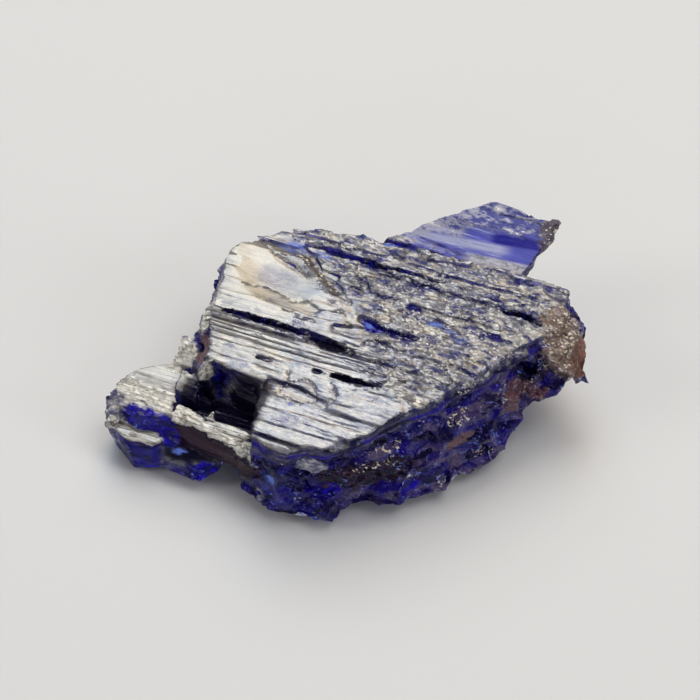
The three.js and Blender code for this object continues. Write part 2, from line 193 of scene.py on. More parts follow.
def cells(place, feature="F1"):
    """Random cells, one to each unit of the place. Gives the distance to the cell's middle."""
    inputs = {"Vector": place, "Scale": 1.0, "Randomness": 1.0}
    return add_node(place.tree, "ShaderNodeTexVoronoi", {"feature": feature}, inputs)


def cell_lots(place):
    """Three random numbers from 0 to 1 for each cell."""
    return parts(cells(place).other("Color"))


def broken_plates(place):
    """Flat plates, each tilted its own way: their slope, and three random numbers for each."""
    cell = cells(place)
    tilt = vector_maths("MULTIPLY_ADD", cell.other("Color"), (2, 2, 2), (-1, -1, -1))
    away = vector_maths("SUBTRACT", place, cell.other("Position"))
    slope = vector_maths("DOT_PRODUCT", tilt, away, output="Value")
    return slope, parts(cell.other("Color"))


# ---- Where things are on the stone, in millimetres from the frame's origin ----------------------

CREST_Y = 1.3  # line along X where the striated face is highest
CREST_HEIGHT = 6.7
FRONT_FALL = 0.0115  # how fast the face falls off in front of it, mm per mm squared
BACK_FALL = 0.02
RIGHT_END = (7.45, 2.8)  # on the part of the face that is tilted down to the right
RIGHT_HEIGHT = 6.65
RIGHT_FALL = 0.2  # per mm to the right
RIGHT_CLIMB = 0.06  # per mm to the back

# Borders of the stone's parts: a share is 0 at the first number and 1 at the second.
OFF_GROUND = (0.06, 0.5)  # z
FACE_DEPTH = (0.8, 0.45)  # how deep under the striated face a point may be and still belong to it
SKIN_DEPTH = (0.36, 0.16)  # the same for its silvery skin
CROWN_BACK = (6.9, 6.4)  # y
BLADE_FRONT = (6.0, 6.6)  # y
BLADE_RIGHT = (8.2, 7.6)  # x
BLADE_ROOT_FRONT = (5.25, 5.65)  # y - x * BLADE_ROOT_SLANT
BLADE_ROOT_SLANT = 0.105
BLADE_ROOT_LEFT = (0.0, 1.0)  # x
FOOT_RIGHT = (-7.2, -7.8)  # x
FOOT_BACK = (-4.0, -4.6)  # y
RECESS_LEFT = (-8.4, -7.8)  # x
RECESS_RIGHT = (-2.6, -3.0)  # x
RECESS_BACK = (-5.4, -5.9)  # y
RECESS_BOTTOM = (1.2, 1.8)  # z
HACKLY_LEFT = (-1.8, 0.8)  # x + y * HACKLY_SLANT
HACKLY_SLANT = 0.9
HACKLY_FRONT = (3.3, 3.9)  # y
DISH_MIDDLE = (-5.6, 0.9)
DISH_REACH = (3.9, 2.5)
DISH_RIM = (1.3, 0.6)
RULED_BAND = (-3.85, -2.45, 0.15)  # y from, y to, softness
RULED_RIGHT = (6.0, 2.5)  # x
RIGHT_FRONT = (4.0, 6.5)  # x - y * RIGHT_FRONT_SLANT
RIGHT_FRONT_SLANT = 0.4
SPOT_BORDER = (1.25, 0.75)  # in reaches of the spot
RAGGED = 0.6  # how far the borders of the spots waver, in reaches


def row(first, last, count, reach):
    """Spots of one size, one after another on a straight line."""
    first, last = Vector(first), Vector(last)
    return [(tuple(first.lerp(last, i / (count - 1))), reach) for i in range(count)]


# Small spots that differ from the stone round them: the middle (x, y, z), and the reach each way.
SPOTS = {
    # Grainy: pale cream grains, partly their own pale colour, partly painted highlights.
    "grainy": [
        *row((-10.7, -7.2, 3.95), (-8.2, -7.5, 3.95), 3, (0.9, 0.6, 0.3)),  # on the foot's top
        ((-11.1, -9.0, 2.9), (0.45, 0.45, 0.4)),  # left end of the foot
        ((-7.4, -7.8, 3.8), (0.8, 0.6, 0.5)),  # left end of the bar
        *row((-3.6, -8.5, 3.5), (-2.6, -8.9, 3.4), 2, (0.5, 0.45, 0.3)),  # right end of the bar
        ((-8.6, -4.7, 4.8), (0.8, 1.1, 0.9)),  # lumps between the foot and the face
        ((-7.8, -2.4, 5.9), (0.4, 1.3, 0.7)),  # left edge of the face
    ],
    # Silver: silvery skin over cream, the cream partly a painted sheen.
    "silver": [
        ((-4.4, -7.8, 3.8), (1.3, 0.5, 0.25)),  # sliver and splinter on the recess's floor
        ((-5.9, -7.2, 3.8), (0.35, 0.35, 0.4)),
        *row((-10.6, -8.9, 2.6), (-8.6, -9.2, 2.55), 3, (0.9, 0.5, 0.3)),  # the foot's lower tier
        *row((-6.8, -7.9, 3.8), (-3.4, -8.45, 3.55), 5, (0.8, 0.40, 0.20)),  # top of the bar
        ((-1.6, -8.8, 4.75), (1.2, 0.35, 0.3)),  # the lip
        ((-6.9, -5.8, 5.4), (0.6, 0.4, 0.7)),  # broken end of the rib
    ],
    # Sparks: where the painted glints, bright crumbs of colour, are thick.
    "sparks": [
        *row((1.4, -7.8, 4.6), (3.9, -6.4, 4.6), 4, (0.7, 0.5, 0.25)),  # ridges on the front
        *row((2.7, -7.7, 3.9), (4.2, -7.0, 3.9), 3, (0.5, 0.5, 0.2)),
        ((6.9, -3.5, 4.8), (1.2, 0.8, 0.5)),  # under the face on the right
        ((7.9, -3.7, 3.9), (0.6, 0.6, 0.5)),
        ((8.7, -1.4, 4.9), (0.9, 0.9, 0.6)),
        ((8.4, -3.0, 1.6), (1.2, 1.0, 0.5)),
        ((10.0, 3.2, 5.9), (1.6, 1.6, 0.8)),  # the horn
        ((10.4, 2.6, 4.9), (1.2, 0.9, 1.0)),
        ((7.4, 9.4, 6.7), (0.6, 1.8, 0.8)),  # right edge of the blade
        ((4.2, 1.4, 6.5), (4.5, 3.6, 0.6)),  # on the shingles
        ((4.0, -2.6, 6.2), (3.5, 1.6, 0.6)),
    ],
    # Umber, plum, tawny and salmon: partly the crystal's own brown tone, partly a painted
    # reflection of warm surroundings.
    "umber": row((-7.4, -8.3, 2.9), (-3.2, -9.1, 2.6), 5, (0.9, 0.5, 0.6)),  # front of the bar
    "bark": row((1.6, -8.4, 3.4), (4.4, -6.9, 3.2), 4, (1.2, 0.9, 0.8)),  # plates on the front
    "plum": [
        ((-7.5, -4.7, 5.7), (0.7, 0.8, 0.8)),  # left wall of the face
        ((9.3, -0.3, 3.8), (1.3, 1.5, 1.3)),  # the shoulder in front of the horn
        ((6.9, -3.9, 3.4), (1.0, 0.8, 0.5)),
    ],
    "tawny": [((10.5, 2.5, 5.0), (1.5, 1.5, 1.3)), ((9.7, 3.4, 6.0), (1.4, 1.4, 0.7))],  # the horn
    "salmon": [((11.4, 3.0, 4.8), (0.7, 1.2, 0.9))],  # its right face
    # Painted shade: near-black blue painted in the hollow in front of the horn and under the face's
    # front edge.
    "ink": [
        ((9.1, 1.2, 4.7), (0.9, 0.9, 0.7)),  # the hollow in front of the horn
        ((2.4, -6.6, 5.0), (1.6, 0.5, 0.3)),  # under the face's front edge
    ],
    "ashen": [((7.5, 9.6, 6.6), (0.7, 1.7, 1.0))],  # right edge of the blade
    "misty": [
        ((0.45, -9.0, 4.4), (0.8, 0.5, 0.4)),  # the diamond-shaped facet
        ((-2.5, -9.8, 1.6), (0.5, 0.4, 0.9)),  # front left corner: a painted glint
        ((-11.1, -8.2, 3.1), (0.7, 0.9, 0.8)),  # left end of the foot
    ],
    "navy": [
        *row((1.7, -7.1, 4.9), (5.1, -4.0, 5.0), 5, (1.1, 0.7, 0.5)),  # under the front edge: painted shade
        ((2.1, -0.75, 6.3), (1.1, 0.35, 0.5)),  # beside the pit in the face
        ((2.4, 1.2, 6.4), (0.6, 0.3, 0.5)),
        ((6.8, 0.9, 6.4), (0.8, 0.25, 0.5)),
    ],
    # Painted shade: near-black patches beside the smooth dish, in a shadowed hollow, with painted
    # glints.
    "sooty": [
        *row((-4.5, 2.5, 6.4), (-2.2, 0.8, 6.4), 5, (0.6, 0.35, 0.5)),  # beside the smooth dish
        *row((-1.9, 0.2, 6.4), (-0.6, -1.0, 6.4), 3, (0.4, 0.3, 0.5)),
    ],
    # Painted glow: the brightest blue spots, painted where light comes through the crystal.
    "lit": [
        *row((-10.0, -8.1, 3.2), (-8.3, -7.9, 3.2), 3, (0.7, 0.55, 0.6)),  # front of the foot
        ((-7.9, -8.4, 2.5), (0.6, 0.5, 0.7)),  # where the foot meets the bar
        ((-5.4, -9.2, 1.2), (0.8, 0.6, 0.6)),  # right end of the lobe
        ((0.6, -0.65, 6.2), (0.8, 0.45, 0.4)),  # pit in the middle of the face
        ((1.3, -8.9, 2.6), (0.9, 0.7, 0.3)),
        ((4.4, -4.5, 5.2), (0.7, 0.5, 0.3)),
        ((4.5, -5.6, 3.0), (0.6, 0.6, 0.4)),
        ((5.0, -6.4, 1.6), (0.8, 0.7, 0.4)),
    ],
    # Painted glow: pale and bright blue patches that stand in for light shining through the crystal
    # and gleaming off its faces.
    "pale_blue": [
        ((-7.1, -8.9, 2.0), (0.5, 0.4, 0.15)),  # on the lobe
        ((-5.4, 3.2, 6.4), (1.2, 0.5, 0.6)),  # back edge of the face
        ((-3.6, 3.0, 6.5), (0.8, 0.3, 0.5)),
        ((-0.9, 5.2, 6.3), (1.6, 0.3, 0.6)),
        ((0.4, -0.5, 6.3), (0.3, 0.2, 0.3)),  # pit in the middle of the face
        ((-1.6, -6.6, 6.0), (0.3, 0.15, 0.4)),  # front of the face
        *row((-1.8, -7.2, 6.0), (0.5, -7.65, 5.9), 5, (0.35, 0.05, 0.3)),
        *row((3.8, 0.6, 6.5), (5.6, 0.1, 6.4), 3, (0.8, 0.2, 0.5)),  # on the shingles
        ((-1.4, -9.2, 2.7), (0.9, 0.5, 0.4)),  # the front
        ((4.6, -4.6, 5.2), (0.4, 0.2, 0.15)),
    ],
    # Gashes: grooves in the face, painted black-blue inside as painted shade.
    "gash": [
        ((-0.7, 3.5, 6.4), (3.9, 0.17, 1.4)),
        ((-4.4, -2.42, 6.3), (2.7, 0.23, 1.4)),
        ((-1.0, -2.6, 6.3), (1.4, 0.32, 1.4)),
        ((1.1, -4.3, 6.1), (1.5, 0.24, 1.4)),
        ((-3.95, -4.6, 6.2), (0.45, 0.09, 0.5)),
        ((-0.95, -4.4, 6.2), (0.22, 0.09, 0.5)),
        ((7.7, 2.85, 6.3), (1.3, 0.26, 0.6)),
    ],
}
CRUMPLED_SPOTS = [
    ((10.1, 2.6, 5.2), (0.9, 1.2, 0.8)),  # front of the horn
    ((6.9, 9.9, 6.8), (1.4, 0.8, 0.8)),  # broken edge of the blade
    ((9.3, 0.3, 4.4), (1.0, 1.2, 1.2)),  # the shoulder in front of the horn
]
SHARES = [
    "face",
    "skin",
    "hackly",
    "ruled",
    "dish",
    "side",
    "right_front",
    "blade",
    "foot",
    "recess",
]
MARKS = [*SHARES, *SPOTS, "flat"]  # flat: 1 where the surface lies level, 0 where it is steep
LEVEL = (0.60, 0.85)  # upward part of the surface's direction, from steep to level


class Places:
    """Shares, from 0 to 1, that say which part of the stone's surface a point is on."""

    def __init__(self, place):
        self.place = place
        self.ragged = noise(place, 0.7, 4.0, 0.6) * RAGGED
        x, y, z = parts(place)
        self.x, self.y, self.z = x, y, z
        self.aloft = rise(z, *OFF_GROUND)
        away = y - CREST_Y
        front, back = away.at_most(0.0), away.at_least(0.0)
        face = CREST_HEIGHT - front * front * FRONT_FALL - back * back * BACK_FALL
        right = RIGHT_HEIGHT - (x - RIGHT_END[0]) * RIGHT_FALL + (y - RIGHT_END[1]) * RIGHT_CLIMB
        depth = face.at_most(right) - z
        crown = rise(y, *CROWN_BACK)
        self.face = rise(depth, *FACE_DEPTH) * crown
        self.skin = rise(depth + self.ragged * 0.1, *SKIN_DEPTH) * crown
        root = rise(y - x * BLADE_ROOT_SLANT, *BLADE_ROOT_FRONT) * rise(x, *BLADE_ROOT_LEFT)
        self.blade = rise(y, *BLADE_FRONT).at_least(root) * rise(x, *BLADE_RIGHT)
        self.foot = rise(x, *FOOT_RIGHT) * rise(y, *FOOT_BACK)
        self.recess = rise(x, *RECESS_RIGHT) * rise(y, *RECESS_BACK) * rise(x, *RECESS_LEFT)
        self.recess = self.recess * rise(z, *RECESS_BOTTOM)
        self.hackly = rise(x + y * HACKLY_SLANT, *HACKLY_LEFT).at_least(rise(y, *HACKLY_FRONT))
        across = (x - DISH_MIDDLE[0]) / DISH_REACH[0]
        along = (y - DISH_MIDDLE[1]) / DISH_REACH[1]
        self.dish = rise(across * across + along * along, *DISH_RIM) * self.face
        self.ruled = band(y, *RULED_BAND) * rise(x, *RULED_RIGHT)
        self.right_front = rise(x - y * RIGHT_FRONT_SLANT, *RIGHT_FRONT)
        self.side = 1 - largest(self.face, self.blade, self.foot)

    def gap_to(self, spots):
        """How far the nearest of these spots is: under 1 inside it, with a ragged border."""
        gaps = []
        for middle, reach in spots:
            away = vector_maths("SUBTRACT", self.place, middle)
            gaps.append(vector_maths("LENGTH", vector_maths("DIVIDE", away, reach), output="Value"))
        return smallest(*gaps) + self.ragged

    def near(self, spots):
        """1 at any of these spots, 0 away from them."""
        return rise(self.gap_to(spots), *SPOT_BORDER)


# ---- Patterns that the relief and the material share --------------------------------------------

# How long the cells of a pattern are along X, how wide across, and how far they drift sideways.
LONG_STEPS = (9.0, 0.34, 0.25)
SHORT_STEPS = (5.0, 0.17, 0.2)
LONG_SEAMS = (9.0, 0.5, 0.25)
SHINGLES = (1.2, 0.48, 0.5)
SMALL_SHINGLES = (0.5, 0.24, 0.4)
RULED_GAP = 0.27  # from one ruled line to the next


def stretched(place, along, across, drift=0.0):
    """The place measured in cells that are `along` long in X and `across` wide."""
    x, y, z = parts(place)
    wander = noise(place, 4.0) * drift
    return point(x / along, (y + wander) / across, (z + wander) / across)


def flowing(place, along, across):
    """The same, but along the broken side at the front right."""
    x, y, z = parts(place)
    return point((x + y) / (math.sqrt(2) * along), (x - y) / (math.sqrt(2) * across), z / across)


def steps(place, cell):
    """Long narrow steps along X, from -0.5 to 0.5."""
    return cell_lots(stretched(place, *cell))[0] - 0.5


def seams(place, cell, width):
    """Narrow lines along X between long cells: 1 in their middle, 0 beside them."""
    return rise(cells(stretched(place, *cell), "DISTANCE_TO_EDGE"), width, 0.0)


def ruling(place):
    """Thin straight lines along X: 1 on a line, 0 between them."""
    y = parts(place)[1]
    wander = noise(stretched(place, 7.0, 0.8), 1.0, 2.0) * 0.15
    turn = (y + wander) * (math.tau / RULED_GAP)
    unbroken = rise(noise(stretched(place, 3.5, 0.25), 1.0, 2.0), -0.45, -0.1)
    return rise(turn.maths("SINE", turn), 0.45, 0.95) * unbroken


# ---- The relief ---------------------------------------------------------------------------------

# Long grooves in the striated face, as points (x, y).
GROOVES = [
    [(-4.6, 3.5), (3.1, 3.55)],
    [(-7.0, -2.4), (-1.9, -2.4)],
    [(0.6, -4.35), (2.4, -4.15)],
    [(6.9, 2.85), (8.7, 2.9)],
]
GROOVE_WIDTH = 0.17
GROOVE_DEPTH = 0.35

# Cracks in the striated face, as points (x, y).
CRACKS = [
    [(-7.0, -0.3), (-6.2, -0.25), (-5.7, 0.0), (-4.5, -0.5), (-3.2, -0.4), (-2.9, -0.1)],
    [(-7.1, 2.9), (-6.0, 2.2), (-5.2, 2.5)],
    [(-3.8, -6.4), (-2.6, -6.2), (-1.2, -6.5)],
    [(-2.6, -6.2), (-2.2, -5.4), (-1.4, -5.1), (-0.6, -5.3), (-0.4, -6.0), (-1.2, -6.5)],
    [(-2.2, -5.4), (-2.5, -4.9)],
    [(0.1, -4.9), (0.6, -5.4), (0.4, -6.0)],
    [(-4.2, -1.3), (-2.2, -1.5)],
]
CRACK_WIDTH = 0.05
CRACK_DEPTH = 0.07
WAVER = 0.45  # how far the grooves and cracks stray from their points, from side to side

# Cells of the patterns that only the relief has.
BOWLS = (3.6, 2.0)
SCALES = (3.0, 1.5)
THIN_SCALES = (2.0, 0.42)
LUMPS = (1.3, 1.0)
GRAINS = (0.7, 0.35)
CRUMPLED = (0.7, 0.7)

# Heights of the relief.
LONG_STEP = 0.026
SHORT_STEP = 0.018
SEAM_DEPTH = 0.05
RULED_DEPTH = 0.03
SHINGLE_TILT, SHINGLE_STEP = 0.10, 0.09
SMALL_TILT, SMALL_STEP = 0.09, 0.06
BOWL_DEPTH, BOWL_RIM = 0.40, 0.3
SCALE_TILT = 0.24
THIN_TILT, THIN_STEP = 0.08, 0.06
LUMP_DEPTH = 0.45
GRAIN_TILT, GRAIN_STEP = 0.13, 0.08
CRUMPLED_TILT = 0.22
CRUMPLE = 0.012
TIER_LEAN = 0.2  # of the foot's lower tier to the front
MOST_OUT = 0.08  # how far the broken sides may stand out
STRAY = (0.5, 0.4, 0.0)  # how far points stray sideways, from side to side, in X, Y and Z

FINE_VOXEL = 0.072
MOST_TRIANGLES = 196000
WELD = 1e-6  # metres
SMOOTH_ANGLE = math.radians(38)


def select_only(piece):
    bpy.ops.object.select_all(action="DESELECT")
    piece.select_set(True)
    bpy.context.view_layer.objects.active = piece


def apply_modifier(piece, kind, **settings):
    modifier = piece.modifiers.new(kind.lower(), kind)
    for name, value in settings.items():
        setattr(modifier, name, value)
    bpy.ops.object.modifier_apply(modifier=modifier.name)


def resize(piece, factor):
    piece.scale = (factor, factor, factor)
    bpy.ops.object.transform_apply(location=False, rotation=False, scale=True)


def drawn_lines(name, paths):
    """The paths as bare edges on the ground, for the relief to measure from."""
    corners = []
    edges = []
    for path in paths:
        edges += [(len(corners) + i, len(corners) + i + 1) for i in range(len(path) - 1)]
        corners += [(x, y, 0.0) for x, y in path]
    mesh = bpy.data.meshes.new(name)
    mesh.from_pydata(corners, edges, [])
    lines = bpy.data.objects.new(name, mesh)
    bpy.context.scene.collection.objects.link(lines)
    return lines


def distance_to(place, lines):
    """How far a place is from the nearest of these lines, seen from above. They waver a little."""
    x, y, _ = parts(vector_maths("MULTIPLY_ADD", three_noises(place, 1.8), (WAVER,) * 3, place))
    x, y = x - WAVER / 2, y - WAVER / 2
    seen = add_node(place.tree, "GeometryNodeObjectInfo", None, {"Object": lines}, "Geometry")
    inputs = {0: seen, "Sample Position": point(x, y, x * 0)}
    settings = {"target_element": "EDGES"}
    return add_node(place.tree, "GeometryNodeProximity", settings, inputs, "Distance")


def shingle_relief(place):
    """Plates drawn out along X, on the right and the back of the face."""
    slope, lot = broken_plates(stretched(place, *SHINGLES))
    small_slope, small_lot = broken_plates(stretched(place, *SMALL_SHINGLES))
    shattered = rise(noise(place, 1.6), -0.4, 0.2)
    shingles = slope * SHINGLE_TILT + lot[0] * SHINGLE_STEP
    return shingles + (small_slope * SMALL_TILT + small_lot[0] * SMALL_STEP) * shattered


def bowl_relief(bent, spots):
    """Hollows that meet in sharp ridges, on the broken sides. They are lumps at the front right."""
    bowl = cells(stretched(bent, *BOWLS))
    slope, _ = broken_plates(stretched(bent, *SCALES))
    thin_slope, thin_lot = broken_plates(flowing(bent, *THIN_SCALES))
    lump = cells(stretched(bent, *LUMPS))
    bowls = (bowl * bowl - BOWL_RIM) * BOWL_DEPTH + slope * SCALE_TILT
    bowls = bowls + thin_slope * THIN_TILT + thin_lot[0] * THIN_STEP
    bowls = blend(bowls, bowls * 0.4 - lump * lump * LUMP_DEPTH, spots.right_front)
    slim = rise(spots.x, -3.0, -3.6) * rise(spots.y, -4.4, -5.0)
    return bowls * (1 - slim.at_least(spots.near(SPOTS["misty"])) * 0.8)


def relief(place, spots, cracks, grooves):
    """How far the surface stands out at a place, in millimetres."""
    striae = steps(place, LONG_STEPS) * LONG_STEP + steps(place, SHORT_STEPS) * SHORT_STEP
    broken = rise(noise(place, 2.2), -0.1, 0.35)
    seam = seams(place, LONG_SEAMS, 0.16) * broken * -SEAM_DEPTH
    ruled = ruling(place) * -RULED_DEPTH + striae
    bend = {0: three_noises(place, 0.6), "Scale": 2.0}
    warp = add_node(place.tree, "ShaderNodeVectorMath", {"operation": "SCALE"}, bend)
    bent = vector_maths("ADD", place, warp)
    bowls = bowl_relief(bent, spots)
    grain_slope, grain_lot = broken_plates(stretched(bent, *GRAINS))
    grains = grain_slope * GRAIN_TILT + grain_lot[0] * GRAIN_STEP
    crumpled, _ = broken_plates(stretched(bent, *CRUMPLED))
    tier = band(spots.z, 2.2, 2.8, 0.1) * rise(spots.y, -8.0, -8.3)
    tier = (spots.y + 8.9) * TIER_LEAN * tier * spots.foot
    crumple = noise(place, 0.6, 3.0, 0.6)

    striated = blend(striae + seam, ruled, spots.ruled)
    on_face = blend(striated, shingle_relief(place), spots.hackly) * (1 - spots.dish * 0.9)
    on_face = on_face * rise(grooves, GROOVE_WIDTH, 2 * GROOVE_WIDTH)
    cut = smallest(
        rise(cracks, CRACK_WIDTH, 0.01) * -CRACK_DEPTH,
        rise(grooves, GROOVE_WIDTH, 0.3 * GROOVE_WIDTH) * -GROOVE_DEPTH,
    )
    height = (
        (on_face * (1 - spots.blade) + cut) * spots.face
        + (striae + seam) * spots.blade
        + blend(bowls * 0.4, striae, rise(spots.z, 3.3, 3.6)) * spots.foot
        + tier
        + striae * spots.recess
        + bowls.at_most(MOST_OUT) * spots.side * (1 - spots.recess * 0.9)
        + crumple * CRUMPLE * (1 - spots.dish * 0.7)
        + grains * spots.near(SPOTS["grainy"])
        + crumpled * CRUMPLED_TILT * spots.near(CRUMPLED_SPOTS)
    )
    return height * spots.aloft


def new_shaper(name):
    """An empty node tree for a mesh, with its incoming mesh and the place of each point."""
    tree = bpy.data.node_groups.new(name, "GeometryNodeTree")
    for way in ("INPUT", "OUTPUT"):
        tree.interface.new_socket("Geometry", in_out=way, socket_type="NodeSocketGeometry")
    return tree, add_node(tree, "NodeGroupInput"), add_node(tree, "GeometryNodeInputPosition")


def run_shaper(piece, tree, shape):
    add_node(tree, "NodeGroupOutput", None, {"Geometry": shape})
    apply_modifier(piece, "NODES", node_group=tree)


def carve_relief(stone):
    tree, rough, place = new_shaper("relief")
    spots = Places(place)
    cracks = drawn_lines("cracks", CRACKS)
    grooves = drawn_lines("grooves", GROOVES)
    height = relief(place, spots, distance_to(place, cracks), distance_to(place, grooves))
    normal = add_node(tree, "GeometryNodeInputNormal")
    stray = three_noises(stretched(place, 4.0, 1.0), 1.0)
    stray = vector_maths("MULTIPLY_ADD", stray, STRAY, tuple(-reach / 2 for reach in STRAY))
    stray = vector_maths("MULTIPLY", stray, point(spots.aloft, spots.aloft, spots.z * 0))
    offset = vector_maths("MULTIPLY_ADD", normal, point(height, height, height), stray)
    inputs = {"Geometry": rough, "Offset": offset}
    run_shaper(stone, tree, add_node(tree, "GeometryNodeSetPosition", None, inputs))
    bpy.data.objects.remove(cracks)
    bpy.data.objects.remove(grooves)


def mark_surface(stone):
    """Writes on each point which part of the surface it is on, for the material to read."""
    tree, shape, place = new_shaper("marks")
    spots = Places(place)
    marks = {name: getattr(spots, name) for name in SHARES}
    marks.update({kind: spots.gap_to(SPOTS[kind]) for kind in SPOTS})
    upward = parts(add_node(tree, "GeometryNodeInputNormal"))[2]
    marks["flat"] = rise(upward, *LEVEL)
    marks["gash"] = marks["gash"] + spots.ragged * 0.5
    for name, value in marks.items():
        inputs = {"Geometry": shape, "Name": name, "Value": value}
        shape = add_node(tree, "GeometryNodeStoreNamedAttribute", None, inputs)
    run_shaper(stone, tree, shape)


def make_stone():
    """The fine stone, from a copy of the frame's solid."""
    select_only(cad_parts["rough_tanzanite"])
    bpy.ops.object.duplicate()
    stone = bpy.context.object
    stone.name = "tanzanite_crystal"
    stone.parent = None
    for mark in [key for key in stone.keys() if key.startswith("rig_")]:
        del stone[mark]
    stone.data.materials.clear()
    select_only(stone)
    bpy.ops.object.mode_set(mode="EDIT")
    bpy.ops.mesh.select_all(action="SELECT")
    bpy.ops.mesh.remove_doubles(threshold=WELD)
    bpy.ops.object.mode_set(mode="OBJECT")
    bpy.ops.mesh.customdata_custom_splitnormals_clear()
    resize(stone, 1 / MM)
    apply_modifier(stone, "REMESH", mode="VOXEL", voxel_size=FINE_VOXEL)
    carve_relief(stone)
    triangles = sum(len(face.vertices) - 2 for face in stone.data.polygons)
    apply_modifier(stone, "DECIMATE", ratio=min(1.0, MOST_TRIANGLES / triangles))
    mark_surface(stone)
    resize(stone, MM)
    bpy.ops.object.shade_smooth_by_angle(angle=SMOOTH_ANGLE)
    return stone


# ---- The stone's material -----------------------------------------------------------------------

# The clear crystal.
REFRACTION = 1.65
CLEAR_COLOUR = (0.85, 0.84, 0.98, 1.0)
CLEAR_SHEEN = (0.2, 0.2, 1.0, 1.0)
CLEAR_ROUGHNESS = 0.10
ABSORB_COLOUR = (0.14, 0.06, 0.87, 1.0)
ABSORB_DENSITY = 2300.0

# The silvery skin on the striated faces; its warm and cool grey is partly a painted sheen.
SKIN_REFRACTION = 2.25
SKIN_ROUGHNESS = 0.16
WARM_SKIN = (0.24, 0.21, 0.17, 1.0)
COOL_SKIN = (0.11, 0.115, 0.17, 1.0)

# The crushed surface, which is opaque and coloured. A share says how much of it there is.
CRUSHED_ROUGHNESS = 0.45
GLOSSY_ROUGHNESS = 0.14
CRUSHED_SPECULAR = 0.12
SIDE_CRUSHED = (0.35, 0.7)  # where the side is glassy, and where it is hazy
BLADE_CRUSHED = 0.88
RECESS_CRUSHED = 0.96
SUNK_CRUSHED = 0.7
HACKLY_CRUSHED = 0.6
FACE_CRUSHED = 0.45
FOOT_TOP_CRUSHED = 0.4
GLOW_CRUSHED = 0.8
SHADE_LINE_CRUSHED = 0.85
GLINT_CRUSHED = 0.75
GASH_CRUSHED = 0.95

# Cells of the patterns that only the material has.
STRIPES = (2.5, 0.10, 0.2)
SCRATCHES = (3.5, 0.16, 0.25)
CRACKLE = (1.1, 0.34, 0.4)
FLAKES = (0.30, 0.14, 0.1)
CRUMBS = (0.15, 0.08)
CRINKLES = (0.6, 0.22)
FACETS = (1.5, 0.40)
BLUE_PLATES = (1.2, 0.5)
BLADE_STREAKS = (2.2, 0.16)
BLADE_CRUMBS = (0.7, 0.35)

# Borders of the spots in the material, in reaches of the spot, and how far they waver.
NEAR_BORDER = (1.15, 0.85)
GASH_BORDER = (1.2, 0.9)
GLOW_BORDER = (1.2, 0.3)
FRAY = 0.25

# Fine relief in the material, in millimetres.
STRIPE_DEPTH = 0.018
GRIT_DEPTH = 0.004
CRINKLE_DEPTH = 0.02
FLAKE_TILT = 0.10
FACET_TILT = 0.07
BUMP_STRENGTH = 0.6

# Colours of the crushed surface.
ASH = (0.35, 0.35, 0.45, 1.0)
DUSK = (0.05, 0.055, 0.22, 1.0)
HOAR = (0.40, 0.40, 0.48, 1.0)
CREAM = (0.92, 0.89, 0.82, 1.0)
# Near-black: for painted shade beside the dish and along the shade lines, and for darker stripes in
# the silvery skin.
NEAR_BLACK = (0.022, 0.018, 0.022, 1.0)
UMBER = (0.032, 0.008, 0.010, 1.0)
RUSSET = (0.060, 0.026, 0.034, 1.0)
PLUM = (0.16, 0.075, 0.085, 1.0)
TAWNY = (0.24, 0.155, 0.105, 1.0)
SALMON = (0.27, 0.115, 0.085, 1.0)
GOLD = (0.85, 0.74, 0.55, 1.0)
GOLD_BROWN = (0.13, 0.060, 0.040, 1.0)
ASHEN = (0.12, 0.095, 0.12, 1.0)
# Black-blue: painted shade in the recess, the hollows and the gashes, and the dark plates on the
# front.
BLACK_BLUE = (0.004, 0.003, 0.016, 1.0)
VIOLET = (0.010, 0.005, 0.045, 1.0)
ULTRAMARINE = (0.018, 0.006, 0.36, 1.0)
HAZE_BLUE = (0.055, 0.045, 0.38, 1.0)
LAVENDER = (0.15, 0.11, 0.22, 1.0)
MIST = (0.30, 0.30, 0.42, 1.0)
NAVY = (0.006, 0.005, 0.14, 1.0)
# Painted glow, for the lit spots.
LIT_BLUE = (0.016, 0.005, 0.50, 1.0)
# For the painted glow and the painted blue glints.
GLOW_BLUE = (0.16, 0.26, 0.85, 1.0)
BLADE_BLUE = (0.09, 0.10, 0.44, 1.0)
PALE_BLUE = (0.46, 0.48, 0.64, 1.0)
DEEP_BLUE = (0.015, 0.015, 0.25, 1.0)

# The surface at each kind of spot: its colour, how far it is crushed, and how far it is silvery.
FINISHES = {
    "navy": (NAVY, 0.6, 0.0),
    "bark": (BLACK_BLUE, 0.7, 0.0),
    # Umber, plum, tawny and salmon: partly own brown tone, partly painted warm reflection.
    "umber": (UMBER, 0.75, 0.0),
    "plum": (PLUM, 0.7, 0.2),
    "tawny": (TAWNY, 0.6, 0.6),
    "salmon": (SALMON, 0.95, 0.0),
    # Painted shade in the hollows.
    "ink": (BLACK_BLUE, 0.7, 0.0),
    "ashen": (ASHEN, 0.8, 0.3),
    "misty": (MIST, 0.55, 0.6),
    # Painted glow.
    "lit": (LIT_BLUE, 0.9, 0.0),
    # Painted shade beside the dish.
    "sooty": (NEAR_BLACK, 0.6, 0.6),
    # Cream of the grainy and silver spots: partly own colour, partly painted highlight and sheen.
    "grainy": (CREAM, 0.75, 1.0),
    "silver": (CREAM, 0.45, 1.0),
}


